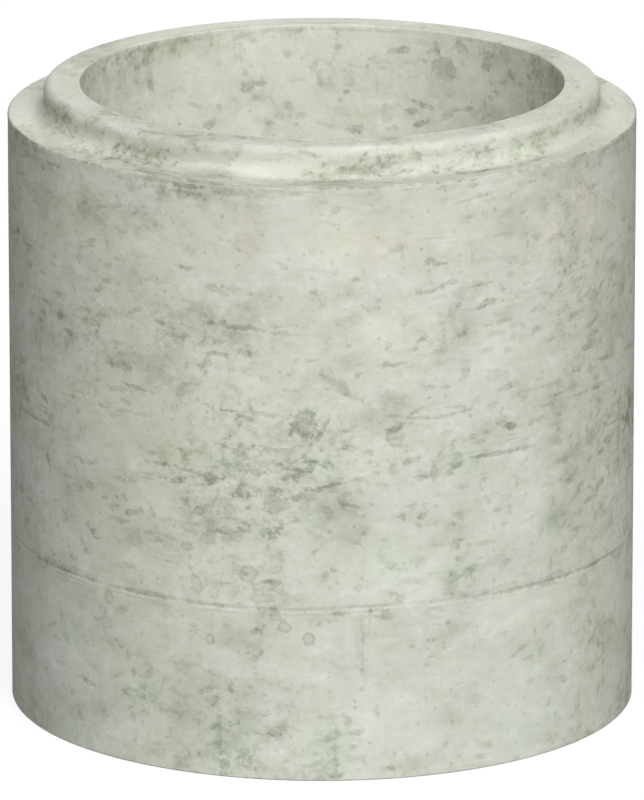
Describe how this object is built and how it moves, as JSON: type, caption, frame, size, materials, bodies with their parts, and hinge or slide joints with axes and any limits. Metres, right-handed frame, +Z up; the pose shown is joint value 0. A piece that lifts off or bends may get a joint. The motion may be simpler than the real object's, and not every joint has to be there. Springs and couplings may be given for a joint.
{
  "type": "concrete culvert ring",
  "caption": "Thick-walled precast concrete ring with a wide round passage, a raised spigot with a rounded nose on top and a matching socket rebate underneath.",
  "frame": {"origin": "centre of the base, on the ring's own axis, at the level of the floor that the ring stands on", "axes": "+Z up along the ring's axis, out of the spigot end. +X and +Y are across the ring, which is the same all round"},
  "size_m": [1.04, 1.04, 1.05],
  "materials": {
    "concrete": "matte"
  },
  "bodies": {
    "root": {"culvert_ring": "concrete"}
  },
  "joints": []
}
